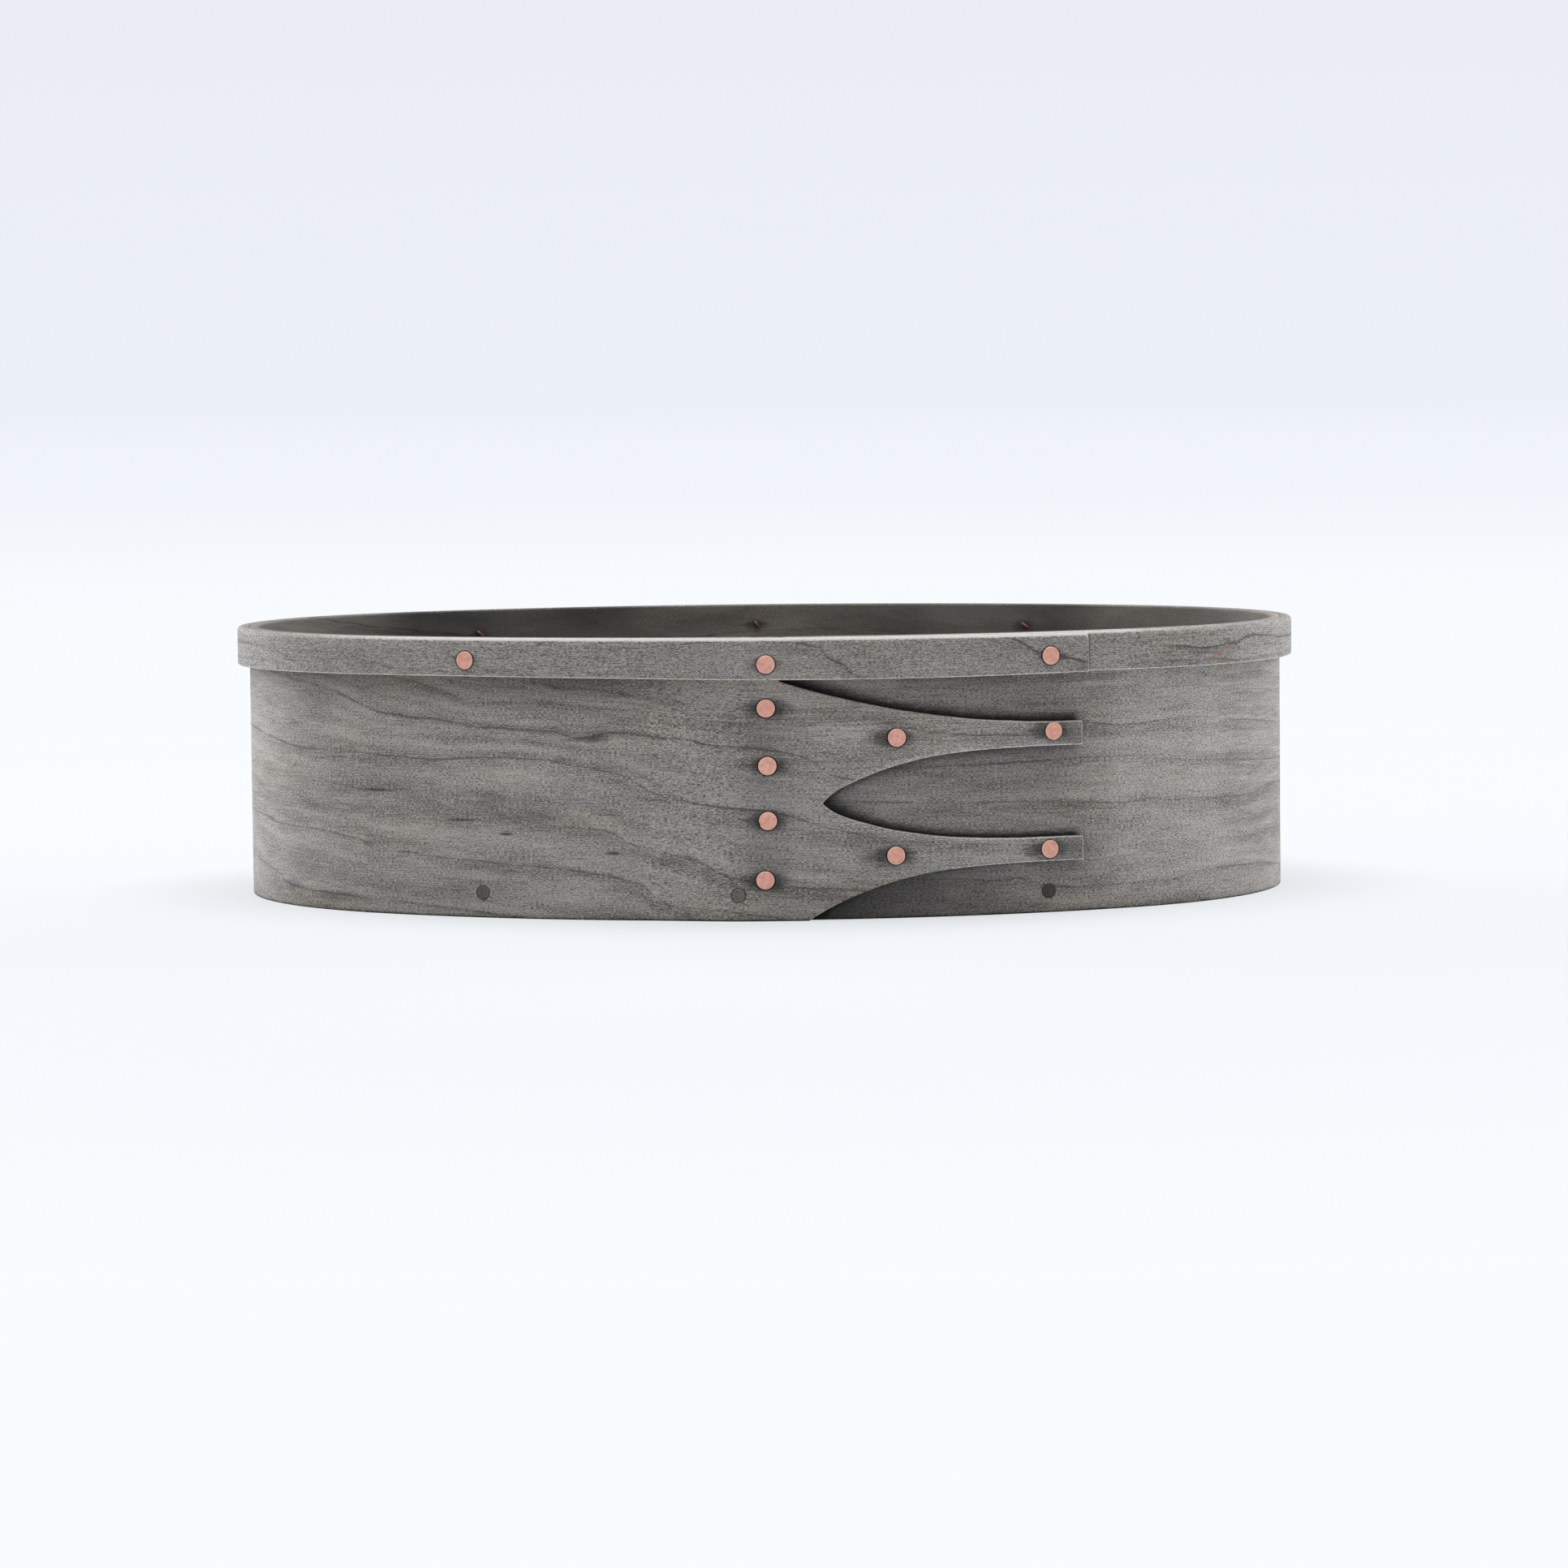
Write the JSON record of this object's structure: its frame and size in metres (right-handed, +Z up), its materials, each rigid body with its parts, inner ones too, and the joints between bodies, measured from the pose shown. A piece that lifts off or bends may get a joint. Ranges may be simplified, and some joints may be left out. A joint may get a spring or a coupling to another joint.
{
  "type": "oval bentwood box",
  "caption": "Open oval box of thin bent wood, with a lapped wall cut into swallowtail fingers, a lapped rim round the top, a pegged bottom and flat copper tacks.",
  "frame": {"origin": "under the middle of the oval, on the plane that the wall's lower edge stands on", "axes": "+Z up, +X along the length of the oval, towards the finger tips of the front lap; the lap faces -Y"},
  "size_m": [0.2515, 0.1906, 0.0635],
  "materials": {
    "wall_wood": "grey-stained, matte",
    "rim_wood": "grey-stained, matte, worn pale on its top edge",
    "board_wood": "grey-stained, matte",
    "peg_wood": "dark end grain",
    "copper": "satin copper"
  },
  "bodies": {
    "root": {"wall_band": "wall_wood", "rim_band": "rim_wood", "bottom_board": "board_wood", "wall_tack_1": "copper", "wall_tack_2": "copper", "wall_tack_3": "copper", "wall_tack_4": "copper", "wall_tack_5": "copper", "wall_tack_6": "copper", "wall_tack_7": "copper", "wall_tack_8": "copper", "rim_tack_1": "copper", "rim_tack_2": "copper", "rim_tack_3": "copper", "rim_tack_4": "copper", "rim_tack_5": "copper", "rim_tack_6": "copper", "rim_tack_7": "copper", "rim_tack_8": "copper", "bottom_peg_1": "peg_wood", "bottom_peg_2": "peg_wood", "bottom_peg_3": "peg_wood", "bottom_peg_4": "peg_wood", "bottom_peg_5": "peg_wood", "bottom_peg_6": "peg_wood", "bottom_peg_7": "peg_wood", "bottom_peg_8": "peg_wood"}
  },
  "joints": []
}
